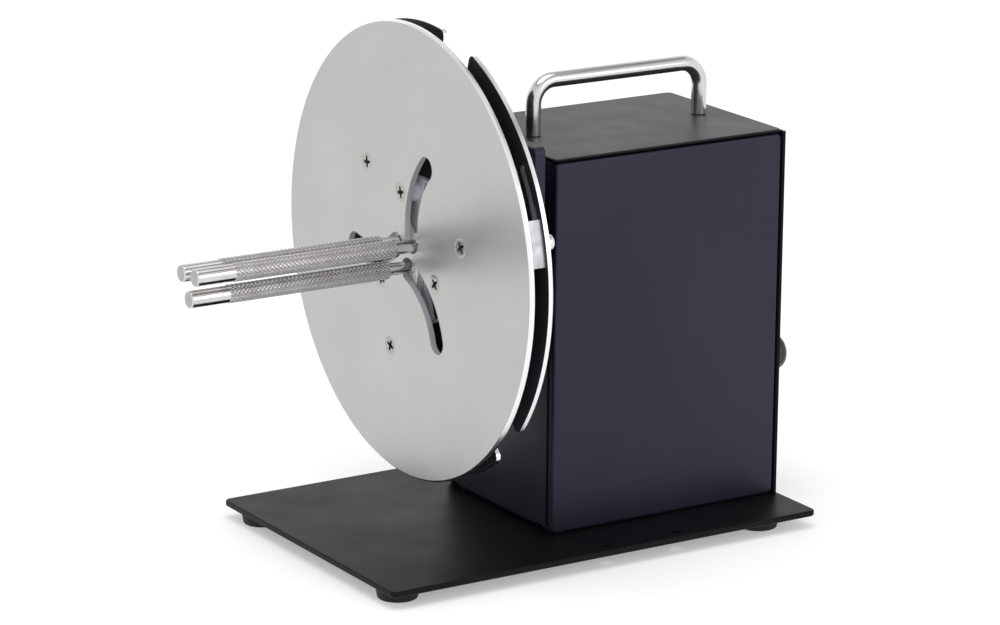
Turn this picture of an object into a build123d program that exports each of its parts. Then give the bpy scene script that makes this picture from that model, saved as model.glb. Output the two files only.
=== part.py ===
from build123d import *
from math import atan2, cos, degrees, hypot, radians, sin
import os

os.makedirs("parts", exist_ok=True)

# Manual label rewinder, in millimetres and degrees. +Z is up and +Y runs from the core rods to the crank.
# The origin lies on the table, under the shaft, halfway between the rods' tips and the end of the grip.
# Depths are measured backwards from the front face of the flange, and angles are seen from the front,
# counterclockwise from +X.

# Base plate and feet
BASE_WIDTH = 162
BASE_LENGTH = 240
BASE_THICKNESS = 3
BASE_CORNER = 3
EDGE_BREAK = 0.5
TABLE_HOLE_RADIUS = 2.25
TABLE_HOLE_SPAN_X = 148
TABLE_HOLE_SPAN_Y = 40
TABLE_HOLES_FORWARD = 31.5
FOOT_RADIUS = 10.5
FOOT_HEIGHT = 6
FOOT_INSET_SIDE = 17
FOOT_INSET_FRONT = 12.5
FOOT_INSET_REAR = 23
FOOT_DRAFT = 1
FOOT_FILLET = 0.8
FOOT_BORE_RADIUS = 5
FOOT_BORE_DEPTH = 3.2

# Housing
HOUSING_WIDTH = 96
HOUSING_LENGTH = 132
HOUSING_HEIGHT = 184
HOUSING_SETBACK = 0.5
SHEET = 1.5
LID_THICKNESS = 1.2
LID_SEAM = 0.9
LID_CORNER = 3
PANEL_DEPTH = 4
PANEL_CORNER = 3
PANEL_FLANGE = 14
FLOOR_GAP = 1
FLOOR_SCREW_INSET_X = 10
FLOOR_SCREW_INSET_Y = 25
PANEL_SCREW_INSET = 15
SHADOW_GAP = 1.4
REAR_SEAM = 0.8
FLANGE_PAST_HANDLE = 8
BEND_RADIUS = 3

# Carrying handle
HANDLE_RADIUS = 3.75
HANDLE_SPACING = 96
HANDLE_HEIGHT = 30
HANDLE_BEND = 11

# Bearing plate in front of the housing, and the two ball bearings
PLATE_WIDTH = 90
PLATE_HEIGHT = 108
PLATE_THICKNESS = 6
PLATE_STANDOFF = 4
PLATE_CORNER = 3
PLATE_HOLE_INSET_X = 17
PLATE_HOLE_INSET_Z = 18
BEARING_RADIUS = 14
BEARING_WIDTH = 8
BEARING_WALL = 3
BEARING_FLANGE_WIDTH = 7
BEARING_FLANGE_THICKNESS = 4
RING_WALL = 2.6
BALL_COUNT = 8
BALL_RADIUS = 2.38
WALL_HOLE_MARGIN = 1
REAR_HOLE_RADIUS = 11
SPACER_RADIUS = 5

# Shaft and crank
SHAFT_HEIGHT = 145
SHAFT_RADIUS = 6
SHAFT_SHOULDER = 7.5
SHAFT_SETBACK = 2.5
HEAD_OVERHANG = 53
CRANK_RADIUS = 80
CRANK_THICKNESS = 6
CRANK_BOSS_RADIUS = 13
CRANK_BOSS_LENGTH = 13
CRANK_TIP_RADIUS = 10
CRANK_CLEARANCE = 3
CRANK_STEP = 1.5
CRANK_FILLET = 1
CRANK_THREAD = 10
CRANK_WASHER_RADIUS = 8.5
CRANK_WASHER_THICKNESS = 1.2
KEY_SIZE = 4
KEY_SINK = 0.4
KEY_SETBACK = 1.5
GRIP_RADIUS = 9
GRIP_LENGTH = 26
GRIP_FILLET = 1.5
GRIP_PIN_RADIUS = 4
PIN_HEAD_STEP = 1.5
PIN_HEAD_THICKNESS = 2
PIN_HEAD_SINK = 5
CAP_HEIGHT = 4.5
CAP_FILLET = 4
CAP_PLUG = 2
CAP_RIM = 1

# Flange, hub and adjuster disc
FLANGE_RADIUS = 110
FLANGE_THICKNESS = 3
FLANGE_CHAMFER = 0.9
DISC_GAP = 7
ADJUSTER_RADIUS = 109.5
ADJUSTER_THICKNESS = 2.2
NOTCH_WIDTH = 23
NOTCH_DEPTH = 12
NOTCH_ANGLE = 74.4
NOTCH_FILLET = 3
HUB_DISC_RADIUS = 35.5
HUB_DISC_THICKNESS = 2
HUB_POST_RADIUS = 5
HUB_POST_CIRCLE = 28.3
HUB_POST_ANGLE = 99.5
WINDOW_INNER = 17.3
WINDOW_OUTER = 34.3
WINDOW_SWEEP = 32
WINDOW_ANGLE = -70
JOURNAL_RADIUS = 16
JOURNAL_STEP = 3
BARREL_RADIUS = 13
BARREL_GAP = 2
RING_THICKNESS = 1
RING_GROOVE = 1
RING_STEP = 2.5
RING_MOUTH = 8

# Swing arms and core rods
PIVOT_CIRCLE = 51
PIVOT_ANGLE = 14.5
PIVOT_POST_RADIUS = 4.5
PIVOT_HEAD_RADIUS = 7
ARM_LENGTH = 44
ARM_REST_ANGLE = 191.3
ARM_SWING = 56
ARM_THICKNESS = 4
ARM_ROD_BOSS = 5.9
ARM_PIVOT_BOSS = 9
ARM_TAIL_BOSS = 6
TAIL_LENGTH = 25
TAIL_PIN_RADIUS = 2.5
PIN_OVERHANG = 1
SLOT_WIDTH = 11.6
SLOT_RELIEF = 2
ROD_TIP_RADIUS = 4.1
ROD_GRIP_RADIUS = 4.4
ROD_NECK_RADIUS = 3
ROD_LENGTH = 116
ROD_TIP_LENGTH = 20
ROD_NECK_LENGTH = 10.4
ROD_SPIGOT = 2
ROD_SCREW_LENGTH = 12
KNURL_BREAK = 0.2

# Lock blocks between the discs
LOCK_INNER = 96
LOCK_OUTER = 107.75
LOCK_SWEEP = 11.6
LOCK_ANGLE = 14
LOCK_SCREW_CIRCLE = 103.5
LOCK_HEAD_RADIUS = 4
LOCK_HEAD_HEIGHT = 4.8
LOCK_HEAD_FILLET = 2.4
LOCK_HEAD_GAP = 0.2
LOCK_SOCKET_RADIUS = 1.3
LOCK_SOCKET_DEPTH = 2
LOCK_TIP_GAP = 1
LOCK_SLOT_MARGIN = 0.8
DOWEL_RADIUS = 1.5
DOWEL_CIRCLE = 99
DOWEL_SHARE = 0.4
DOWEL_IN_FLANGE = 2
DOWEL_IN_BLOCK = 3

# Carrying handle's fastening
HANDLE_THREAD = 9
HANDLE_WASHER_RADIUS = 4.5
HANDLE_WASHER_THICKNESS = 0.8

# Threads, by the radius of the screw
M3 = 1.5
M4 = 2
M5 = 2.5

# Screws and nuts, as multiples of the thread's radius
HEAD_RATIO = 1.9
PAN_HEIGHT_RATIO = 1.3
PAN_FILLET_RATIO = 0.8
CROSS_LENGTH_RATIO = 2
CROSS_WIDTH_RATIO = 0.45
CROSS_DEPTH_RATIO = 0.7
SOCKET_RATIO = 0.55
NUT_WIDTH_RATIO = 1.75
NUT_HEIGHT_RATIO = 1.6
COUNTERSINK_ANGLE = 90
THREAD_END = 0.6

# Fits
RUNNING = 0.05
PLAY = 0.3
LOOSE = 0.25

# Places that follow from the sizes above
BASE_TOP = FOOT_HEIGHT + BASE_THICKNESS
WALL_DEPTH = HEAD_OVERHANG
REAR_DEPTH = WALL_DEPTH + HOUSING_LENGTH
CRANK_FRONT = REAR_DEPTH + CRANK_CLEARANCE
CRANK_BACK = CRANK_FRONT + CRANK_THICKNESS
CRANK_END = CRANK_FRONT + CRANK_BOSS_LENGTH
GRIP_END = CRANK_BACK + GRIP_LENGTH
FLANGE_FACE = (ROD_LENGTH - GRIP_END) / 2
HOUSING_FRONT = FLANGE_FACE + WALL_DEPTH
HOUSING_REAR = FLANGE_FACE + REAR_DEPTH
HOUSING_MIDDLE = (HOUSING_FRONT + HOUSING_REAR) / 2
HOUSING_TOP = BASE_TOP + HOUSING_HEIGHT
BASE_MIDDLE = HOUSING_REAR + HOUSING_SETBACK - BASE_LENGTH / 2
LID_BOTTOM = HOUSING_TOP - LID_THICKNESS
PANEL_TOP = LID_BOTTOM - LID_SEAM
FRAME_WIDTH = HOUSING_WIDTH - 2 * (PANEL_DEPTH + SHADOW_GAP)
FRAME_FLANGE = (HOUSING_LENGTH - HANDLE_SPACING) / 2 + FLANGE_PAST_HANDLE
PANEL_LENGTH = HOUSING_LENGTH - SHEET - REAR_SEAM - PLAY
PANEL_MIDDLE = HOUSING_FRONT + PLAY + PANEL_LENGTH / 2
FLOOR_WIDTH = HOUSING_WIDTH - 2 * (PANEL_FLANGE + FLOOR_GAP)
TABLE_HOLES_Y = HOUSING_MIDDLE - TABLE_HOLES_FORWARD
PLATE_BACK = WALL_DEPTH - PLATE_STANDOFF
PLATE_FRONT = PLATE_BACK - PLATE_THICKNESS
PLATE_SPAN_X = PLATE_WIDTH - 2 * PLATE_HOLE_INSET_X
PLATE_SPAN_Z = PLATE_HEIGHT - 2 * PLATE_HOLE_INSET_Z
FRONT_BEARING = PLATE_FRONT
REAR_BEARING = REAR_DEPTH - SHEET - BEARING_WIDTH - BEARING_WALL
HOUSING_RING_RADIUS = BEARING_RADIUS + BEARING_WALL
HOUSING_FLANGE_RADIUS = HOUSING_RING_RADIUS + BEARING_FLANGE_WIDTH
BEARING_SCREW_CIRCLE = HOUSING_RING_RADIUS + BEARING_FLANGE_WIDTH / 2
INNER_RING_RADIUS = SHAFT_RADIUS + RING_WALL
OUTER_RING_RADIUS = BEARING_RADIUS - RING_WALL
ADJUSTER_FRONT = FLANGE_THICKNESS + DISC_GAP
ADJUSTER_BACK = ADJUSTER_FRONT + ADJUSTER_THICKNESS
ARM_FRONT = FLANGE_THICKNESS + PLAY
ARM_BACK = ARM_FRONT + ARM_THICKNESS
HUB_DISC_BACK = ADJUSTER_FRONT - LOOSE
HUB_DISC_FRONT = HUB_DISC_BACK - HUB_DISC_THICKNESS
PIVOT_HEAD_BACK = HUB_DISC_BACK - 2 * LOOSE
TAIL_REST_ANGLE = PIVOT_ANGLE + ARM_SWING / 2
TAIL_REST_X = PIVOT_CIRCLE + TAIL_LENGTH * cos(radians(ARM_SWING / 2))
TAIL_REST_Y = TAIL_LENGTH * sin(radians(ARM_SWING / 2))
TAIL_CIRCLE_MIN = hypot(TAIL_REST_X, TAIL_REST_Y)
TAIL_CIRCLE_MAX = PIVOT_CIRCLE + TAIL_LENGTH
TAIL_OFFSET = degrees(atan2(TAIL_REST_Y, TAIL_REST_X))
ADJUSTER_TRAVEL = 2 * TAIL_OFFSET


def polar(radius, angle):
    """Point of a sketch at this radius and angle."""
    return (radius * cos(radians(angle)), radius * sin(radians(angle)))


def at_depth(depth, turn=0):
    """Plane square to the shaft at this depth: its x axis is turned from +X, its normal points forwards."""
    x_dir = (cos(radians(turn)), 0, sin(radians(turn)))
    return Plane(origin=(0, FLANGE_FACE + depth, SHAFT_HEIGHT), x_dir=x_dir, z_dir=(0, -1, 0))


def radial_plane(depth, turn, radius):
    """Plane facing away from the shaft at this depth, angle and distance from the shaft's axis."""
    x, z = polar(radius, turn)
    normal = (cos(radians(turn)), 0, sin(radians(turn)))
    return Plane(origin=(x, FLANGE_FACE + depth, SHAFT_HEIGHT + z), x_dir=(0, 1, 0), z_dir=normal)


def save(piece, name):
    """Label a finished piece and write it."""
    piece.label = name
    export_step(piece, f"parts/{name}.step")


def sector(inner, outer, start, sweep):
    """Part of a ring between two radii and two angles."""
    with BuildSketch() as shape:
        with BuildLine():
            CenterArc((0, 0), outer, start, sweep)
            Line(polar(outer, start + sweep), polar(inner, start + sweep))
            CenterArc((0, 0), inner, start, sweep)
            Line(polar(inner, start), polar(outer, start))
        make_face()
    return shape.sketch


def arc_slot(centre, radius, width, start, sweep):
    """Slot with round ends whose middle line is an arc."""
    half = width / 2
    first = Vector(*centre) + Vector(*polar(radius, start))
    last = Vector(*centre) + Vector(*polar(radius, start + sweep))
    with BuildSketch() as shape:
        with BuildLine():
            CenterArc(centre, radius + half, start, sweep)
            CenterArc(last, half, start + sweep, 180)
            CenterArc(centre, radius - half, start, sweep)
            CenterArc(first, half, start + 180, 180)
        make_face()
    return shape.sketch


def cross_recess(screw_radius):
    """Cross that is cut into a screw's head."""
    with BuildSketch() as cross:
        Rectangle(CROSS_LENGTH_RATIO * screw_radius, CROSS_WIDTH_RATIO * screw_radius)
        Rectangle(CROSS_WIDTH_RATIO * screw_radius, CROSS_LENGTH_RATIO * screw_radius)
    return cross.sketch


def countersunk_screw(radius, length):
    """Screw with a flush head at the origin and its thread running down."""
    head_radius = HEAD_RATIO * radius
    cone = head_radius - radius
    with BuildPart() as screw:
        with BuildSketch():
            Circle(head_radius)
        with BuildSketch(Plane.XY.offset(-cone)):
            Circle(radius)
        loft()
        with BuildSketch(Plane.XY.offset(-length)):
            Circle(radius)
        extrude(amount=length - cone)
        with BuildSketch():
            add(cross_recess(radius))
        extrude(amount=-CROSS_DEPTH_RATIO * radius, mode=Mode.SUBTRACT)
    return screw.part


def pan_screw(radius, length):
    """Screw with a rounded head above the origin and its thread running down."""
    head_radius = HEAD_RATIO * radius
    head_height = PAN_HEIGHT_RATIO * radius
    with BuildPart() as screw:
        with BuildSketch():
            Circle(head_radius)
        extrude(amount=head_height)
        fillet(screw.edges().sort_by(Axis.Z)[-1], radius=PAN_FILLET_RATIO * radius)
        with BuildSketch():
            Circle(radius)
        extrude(amount=-length)
        with BuildSketch(Plane.XY.offset(head_height)):
            add(cross_recess(radius))
        extrude(amount=-CROSS_DEPTH_RATIO * radius, mode=Mode.SUBTRACT)
    return screw.part


def grub_screw(radius, length):
    """Headless screw below the origin, with a hexagon socket."""
    with BuildPart() as screw:
        with BuildSketch():
            Circle(radius)
            RegularPolygon(SOCKET_RATIO * radius, 6, mode=Mode.SUBTRACT)
        extrude(amount=-length / 2)
        with BuildSketch(Plane.XY.offset(-length / 2)):
            Circle(radius)
        extrude(amount=-length / 2)
    return screw.part


def hexagon_nut(radius):
    """Nut that stands above the origin."""
    with BuildPart() as nut:
        with BuildSketch():
            RegularPolygon(NUT_WIDTH_RATIO * radius, 6, major_radius=False)
            Circle(radius, mode=Mode.SUBTRACT)
        extrude(amount=NUT_HEIGHT_RATIO * radius)
    return nut.part


def washer(radius, outer, thickness):
    """Washer that stands above the origin."""
    with BuildPart() as ring:
        with BuildSketch():
            Circle(outer)
            Circle(radius, mode=Mode.SUBTRACT)
        extrude(amount=thickness)
    return ring.part


# Base plate

foot_span_x = BASE_WIDTH - 2 * FOOT_INSET_SIDE
foot_span_y = BASE_LENGTH - FOOT_INSET_FRONT - FOOT_INSET_REAR
foot_middle = BASE_MIDDLE + (FOOT_INSET_FRONT - FOOT_INSET_REAR) / 2
frame_screw_span_x = FLOOR_WIDTH - 2 * FLOOR_SCREW_INSET_X
frame_screw_span_y = HOUSING_LENGTH - 2 * FLOOR_SCREW_INSET_Y
panel_screw_x = HOUSING_WIDTH / 2 - PANEL_FLANGE / 2
panel_screw_span_y = HOUSING_LENGTH - 2 * PANEL_SCREW_INSET
foot_thread_depth = BASE_THICKNESS - THREAD_END

with BuildPart() as base_plate:
    with BuildSketch(Plane.XY.offset(FOOT_HEIGHT)):
        with Locations((0, BASE_MIDDLE)):
            RectangleRounded(BASE_WIDTH, BASE_LENGTH, BASE_CORNER)
        with Locations((0, TABLE_HOLES_Y)):
            with GridLocations(TABLE_HOLE_SPAN_X, TABLE_HOLE_SPAN_Y, 2, 2):
                Circle(TABLE_HOLE_RADIUS, mode=Mode.SUBTRACT)
    extrude(amount=BASE_THICKNESS)
    top_edges = base_plate.faces().sort_by(Axis.Z)[-1].outer_wire().edges()
    bottom_edges = base_plate.faces().sort_by(Axis.Z)[0].outer_wire().edges()
    chamfer(top_edges + bottom_edges, length=EDGE_BREAK)
    with Locations(Plane(origin=(0, foot_middle, FOOT_HEIGHT), x_dir=(1, 0, 0), z_dir=(0, 0, -1))):
        with GridLocations(foot_span_x, foot_span_y, 2, 2):
            Hole(M4, depth=foot_thread_depth)
    with Locations(Plane(origin=(0, HOUSING_MIDDLE, FOOT_HEIGHT), x_dir=(1, 0, 0), z_dir=(0, 0, -1))):
        with GridLocations(frame_screw_span_x, frame_screw_span_y, 2, 2):
            CounterSinkHole(M4, HEAD_RATIO * M4, counter_sink_angle=COUNTERSINK_ANGLE)
        with GridLocations(2 * panel_screw_x, panel_screw_span_y, 2, 2):
            CounterSinkHole(M4, HEAD_RATIO * M4, counter_sink_angle=COUNTERSINK_ANGLE)
save(base_plate.part, "base_plate")

# Rubber feet and their screws

with BuildPart() as foot:
    with BuildSketch():
        Circle(FOOT_RADIUS - FOOT_DRAFT)
    with BuildSketch(Plane.XY.offset(FOOT_HEIGHT)):
        Circle(FOOT_RADIUS)
    loft()
    with Locations(Plane(origin=(0, 0, 0), x_dir=(1, 0, 0), z_dir=(0, 0, -1))):
        CounterBoreHole(M4, FOOT_BORE_RADIUS, FOOT_BORE_DEPTH)
    fillet(foot.edges().group_by(Axis.Z)[0].sort_by(SortBy.LENGTH)[-1], radius=FOOT_FILLET)

foot_screw = pan_screw(M4, FOOT_HEIGHT - FOOT_BORE_DEPTH + foot_thread_depth - PLAY)
with BuildPart() as rubber_feet:
    with Locations((0, foot_middle)):
        with GridLocations(foot_span_x, foot_span_y, 2, 2):
            add(foot.part)
save(rubber_feet.part, "rubber_feet")

with BuildPart() as foot_screws:
    with Locations(Plane(origin=(0, foot_middle, FOOT_BORE_DEPTH), x_dir=(1, 0, 0), z_dir=(0, 0, -1))):
        with GridLocations(foot_span_x, foot_span_y, 2, 2):
            add(foot_screw)
save(foot_screws.part, "foot_screws")

# Housing frame: floor, front wall, rear wall and two top flanges, folded from one sheet

frame_section = Plane.YZ.offset(-FRAME_WIDTH / 2)
frame_height = LID_BOTTOM - BASE_TOP
with BuildPart() as housing_frame:
    with BuildSketch(frame_section) as profile:
        with Locations((HOUSING_MIDDLE, BASE_TOP + frame_height / 2)):
            Rectangle(HOUSING_LENGTH, frame_height)
        fillet(profile.vertices(), radius=BEND_RADIUS)
        with Locations((HOUSING_MIDDLE, BASE_TOP + frame_height / 2)):
            RectangleRounded(
                HOUSING_LENGTH - 2 * SHEET, frame_height - 2 * SHEET, BEND_RADIUS - SHEET, mode=Mode.SUBTRACT
            )
        with Locations((HOUSING_MIDDLE, LID_BOTTOM)):
            Rectangle(HOUSING_LENGTH - 2 * FRAME_FLANGE, 4 * SHEET, mode=Mode.SUBTRACT)
    extrude(amount=FRAME_WIDTH)
    # The rear wall reaches out behind the side panels
    with BuildSketch(at_depth(REAR_DEPTH)):
        with Locations((0, BASE_TOP + frame_height / 2 - SHAFT_HEIGHT)):
            Rectangle(HOUSING_WIDTH, frame_height)
            Rectangle(FRAME_WIDTH, frame_height, mode=Mode.SUBTRACT)
    extrude(amount=SHEET)
    # The floor is narrower than the walls, to clear the flanges of the side panels
    with BuildSketch(Plane.XY.offset(BASE_TOP)):
        with Locations((0, HOUSING_MIDDLE)):
            Rectangle(FRAME_WIDTH, HOUSING_LENGTH)
            Rectangle(FLOOR_WIDTH, HOUSING_LENGTH, mode=Mode.SUBTRACT)
    extrude(amount=BEND_RADIUS, mode=Mode.SUBTRACT)
    with Locations(Plane.XY.offset(BASE_TOP + SHEET)):
        with Locations((0, HOUSING_MIDDLE)):
            with GridLocations(frame_screw_span_x, frame_screw_span_y, 2, 2):
                Hole(M4, depth=SHEET)
    with Locations(Plane.XY.offset(LID_BOTTOM)):
        with Locations((0, HOUSING_MIDDLE)):
            with GridLocations(1, HANDLE_SPACING, 1, 2):
                Hole(M4 + LOOSE, depth=SHEET)
    # Openings for the shaft, the spacers of the bearing plate and the screws of the rear bearing
    with BuildSketch(at_depth(WALL_DEPTH + SHEET)):
        Circle(HOUSING_RING_RADIUS + WALL_HOLE_MARGIN)
        with GridLocations(PLATE_SPAN_X, PLATE_SPAN_Z, 2, 2):
            Circle(M4 + LOOSE)
    extrude(amount=SHEET, mode=Mode.SUBTRACT)
    with BuildSketch(at_depth(REAR_DEPTH)):
        Circle(REAR_HOLE_RADIUS)
        with PolarLocations(BEARING_SCREW_CIRCLE, 3, 90):
            Circle(M4 + LOOSE)
    extrude(amount=SHEET, mode=Mode.SUBTRACT)
save(housing_frame.part, "housing_frame")

# Lid, held by the handle's screws

with BuildPart() as housing_lid:
    with BuildSketch(Plane.XY.offset(LID_BOTTOM)):
        with Locations((0, PANEL_MIDDLE)):
            RectangleRounded(HOUSING_WIDTH, PANEL_LENGTH + 2 * PLAY, LID_CORNER)
        with Locations((0, HOUSING_MIDDLE)):
            with GridLocations(1, HANDLE_SPACING, 1, 2):
                Circle(M4 + LOOSE, mode=Mode.SUBTRACT)
    extrude(amount=LID_THICKNESS)
    lid_rim = housing_lid.faces().sort_by(Axis.Z)[-1].outer_wire().edges()
    chamfer(lid_rim, length=EDGE_BREAK)
save(housing_lid.part, "housing_lid")

# Side panels: shallow trays with a flange that is screwed to the base plate from below

panel_height = PANEL_TOP - BASE_TOP
panel_outside = Plane.YZ.offset(HOUSING_WIDTH / 2)
panel_inside = Plane.YZ.offset(HOUSING_WIDTH / 2 - PANEL_DEPTH)
with BuildPart() as side_panel_right:
    with BuildSketch(panel_outside) as outline:
        with Locations((PANEL_MIDDLE, BASE_TOP + panel_height / 2)):
            Rectangle(PANEL_LENGTH, panel_height)
        fillet(outline.vertices().group_by(Axis.Z)[-1], radius=PANEL_CORNER)
    extrude(amount=-PANEL_DEPTH)
    fillet(side_panel_right.faces().sort_by(Axis.X)[-1].edges(), radius=SHEET)
    with BuildSketch(panel_inside):
        with Locations((PANEL_MIDDLE, BASE_TOP + panel_height / 2)):
            Rectangle(PANEL_LENGTH - 2 * SHEET, panel_height - 2 * SHEET)
    extrude(amount=PANEL_DEPTH - SHEET, mode=Mode.SUBTRACT)
    with BuildSketch(Plane.XY.offset(BASE_TOP)):
        with Locations((HOUSING_WIDTH / 2 - (PANEL_FLANGE + SHEET) / 2, PANEL_MIDDLE)):
            Rectangle(PANEL_FLANGE - SHEET, PANEL_LENGTH - 4 * SHEET)
    extrude(amount=SHEET)
    with Locations(Plane.XY.offset(BASE_TOP + SHEET)):
        with Locations((panel_screw_x, HOUSING_MIDDLE)):
            with GridLocations(1, panel_screw_span_y, 1, 2):
                Hole(M4, depth=SHEET)
save(side_panel_right.part, "side_panel_right")

with BuildPart() as side_panel_left:
    mirror(side_panel_right.part, about=Plane.YZ)
save(side_panel_left.part, "side_panel_left")

# Screws that hold the frame and the panels to the base plate, with heads flush in its underside

base_screw = countersunk_screw(M4, BASE_THICKNESS + SHEET)
base_screw_heads = Plane(origin=(0, HOUSING_MIDDLE, FOOT_HEIGHT), x_dir=(1, 0, 0), z_dir=(0, 0, -1))
with BuildPart() as frame_screws:
    with Locations(base_screw_heads):
        with GridLocations(frame_screw_span_x, frame_screw_span_y, 2, 2):
            add(base_screw)
save(frame_screws.part, "frame_screws")

with BuildPart() as panel_screws:
    with Locations(base_screw_heads):
        with GridLocations(2 * panel_screw_x, panel_screw_span_y, 2, 2):
            add(base_screw)
save(panel_screws.part, "panel_screws")

# Carrying handle, its screws and washers

handle_front = HOUSING_MIDDLE - HANDLE_SPACING / 2
handle_rear = HOUSING_MIDDLE + HANDLE_SPACING / 2
handle_top = HOUSING_TOP + HANDLE_HEIGHT - HANDLE_RADIUS
handle_screw_head = LID_BOTTOM - SHEET - HANDLE_WASHER_THICKNESS
with BuildPart() as carry_handle:
    with BuildLine() as handle_path:
        FilletPolyline(
            (0, handle_front, HOUSING_TOP),
            (0, handle_front, handle_top),
            (0, handle_rear, handle_top),
            (0, handle_rear, HOUSING_TOP),
            radius=HANDLE_BEND,
        )
    with BuildSketch(Plane(origin=(0, handle_front, HOUSING_TOP), z_dir=(0, 0, 1))):
        Circle(HANDLE_RADIUS)
    sweep()
    handle_foot = Plane(origin=(0, HOUSING_MIDDLE, HOUSING_TOP), x_dir=(1, 0, 0), z_dir=(0, 0, -1))
    with Locations(handle_foot):
        with GridLocations(1, HANDLE_SPACING, 1, 2):
            Hole(M4, depth=HANDLE_THREAD)
save(carry_handle.part, "carry_handle")

screw_plane = Plane(origin=(0, HOUSING_MIDDLE, handle_screw_head), x_dir=(1, 0, 0), z_dir=(0, 0, -1))
handle_screw = pan_screw(M4, HANDLE_THREAD + LID_THICKNESS + SHEET)
with BuildPart() as handle_screws:
    with Locations(screw_plane):
        with GridLocations(1, HANDLE_SPACING, 1, 2):
            add(handle_screw)
save(handle_screws.part, "handle_screws")

handle_washer = washer(M4 + LOOSE, HANDLE_WASHER_RADIUS, HANDLE_WASHER_THICKNESS)
with BuildPart() as handle_washers:
    with Locations((0, HOUSING_MIDDLE, handle_screw_head)):
        with GridLocations(1, HANDLE_SPACING, 1, 2):
            add(handle_washer)
save(handle_washers.part, "handle_washers")

# Bearing plate, standing off the front wall on four spacers

with BuildPart() as bearing_plate:
    with BuildSketch(at_depth(PLATE_BACK)):
        RectangleRounded(PLATE_WIDTH, PLATE_HEIGHT, PLATE_CORNER)
        Circle(HOUSING_RING_RADIUS, mode=Mode.SUBTRACT)
        with GridLocations(PLATE_SPAN_X, PLATE_SPAN_Z, 2, 2):
            Circle(M4 + LOOSE, mode=Mode.SUBTRACT)
        with PolarLocations(BEARING_SCREW_CIRCLE, 3, 90):
            Circle(M4, mode=Mode.SUBTRACT)
    extrude(amount=PLATE_THICKNESS)
    plate_edges = bearing_plate.faces().sort_by(Axis.Y)[0].outer_wire().edges()
    chamfer(plate_edges, length=EDGE_BREAK)
save(bearing_plate.part, "bearing_plate")

plate_spacer = washer(M4 + LOOSE, SPACER_RADIUS, PLATE_STANDOFF)
nut_height = NUT_HEIGHT_RATIO * M4
plate_screw = pan_screw(M4, PLATE_THICKNESS + PLATE_STANDOFF + SHEET + nut_height + THREAD_END)
plate_nut = hexagon_nut(M4)
with BuildPart() as plate_spacers:
    with Locations(at_depth(WALL_DEPTH)):
        with GridLocations(PLATE_SPAN_X, PLATE_SPAN_Z, 2, 2):
            add(plate_spacer)
save(plate_spacers.part, "plate_spacers")

with BuildPart() as plate_screws:
    with Locations(at_depth(PLATE_FRONT)):
        with GridLocations(PLATE_SPAN_X, PLATE_SPAN_Z, 2, 2):
            add(plate_screw)
save(plate_screws.part, "plate_screws")

with BuildPart() as plate_nuts:
    with Locations(at_depth(WALL_DEPTH + SHEET + nut_height)):
        with GridLocations(PLATE_SPAN_X, PLATE_SPAN_Z, 2, 2):
            add(plate_nut)
save(plate_nuts.part, "plate_nuts")

# Bearing housings. The front one hangs in the bearing plate, the rear one on the rear wall's inside

with BuildPart() as front_bearing_housing:
    with BuildSketch(at_depth(PLATE_FRONT)):
        Circle(HOUSING_FLANGE_RADIUS)
    extrude(amount=BEARING_FLANGE_THICKNESS)
    with BuildSketch(at_depth(FRONT_BEARING + BEARING_WIDTH)):
        Circle(HOUSING_RING_RADIUS)
    extrude(amount=BEARING_WIDTH)
    with BuildSketch(at_depth(FRONT_BEARING + BEARING_WIDTH)):
        Circle(BEARING_RADIUS)
    extrude(amount=BEARING_WIDTH, mode=Mode.SUBTRACT)
    with BuildSketch(at_depth(FRONT_BEARING)):
        Circle(OUTER_RING_RADIUS)
        with PolarLocations(BEARING_SCREW_CIRCLE, 3, 90):
            Circle(M4 + LOOSE)
    extrude(amount=BEARING_FLANGE_THICKNESS, mode=Mode.SUBTRACT)
    chamfer(front_bearing_housing.faces().sort_by(Axis.Y)[0].outer_wire().edges(), length=EDGE_BREAK)
save(front_bearing_housing.part, "front_bearing_housing")

rear_flange_back = REAR_DEPTH - SHEET
with BuildPart() as rear_bearing_housing:
    with BuildSketch(at_depth(rear_flange_back)):
        Circle(HOUSING_FLANGE_RADIUS)
    extrude(amount=BEARING_FLANGE_THICKNESS)
    with BuildSketch(at_depth(rear_flange_back - BEARING_FLANGE_THICKNESS)):
        Circle(HOUSING_RING_RADIUS)
    extrude(amount=BEARING_WIDTH + BEARING_WALL - BEARING_FLANGE_THICKNESS)
    with BuildSketch(at_depth(REAR_BEARING + BEARING_WIDTH)):
        Circle(BEARING_RADIUS)
    extrude(amount=BEARING_WIDTH, mode=Mode.SUBTRACT)
    with BuildSketch(at_depth(rear_flange_back)):
        Circle(OUTER_RING_RADIUS)
        with PolarLocations(BEARING_SCREW_CIRCLE, 3, 90):
            Circle(M4)
    extrude(amount=BEARING_FLANGE_THICKNESS, mode=Mode.SUBTRACT)
save(rear_bearing_housing.part, "rear_bearing_housing")

front_housing_screw = pan_screw(M4, BEARING_FLANGE_THICKNESS + PLATE_THICKNESS)
with BuildPart() as front_housing_screws:
    with Locations(at_depth(PLATE_FRONT - BEARING_FLANGE_THICKNESS)):
        with PolarLocations(BEARING_SCREW_CIRCLE, 3, 90):
            add(front_housing_screw)
save(front_housing_screws.part, "front_housing_screws")

outside_rear = Plane(origin=(0, HOUSING_REAR, SHAFT_HEIGHT), x_dir=(-1, 0, 0), z_dir=(0, 1, 0))
rear_housing_screw = pan_screw(M4, SHEET + BEARING_FLANGE_THICKNESS)
with BuildPart() as rear_housing_screws:
    with Locations(outside_rear):
        with PolarLocations(BEARING_SCREW_CIRCLE, 3, 90):
            add(rear_housing_screw)
save(rear_housing_screws.part, "rear_housing_screws")

# Ball bearings

ball_circle = (INNER_RING_RADIUS + OUTER_RING_RADIUS) / 2
groove_radius = BALL_RADIUS + 2 * RUNNING


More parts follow.
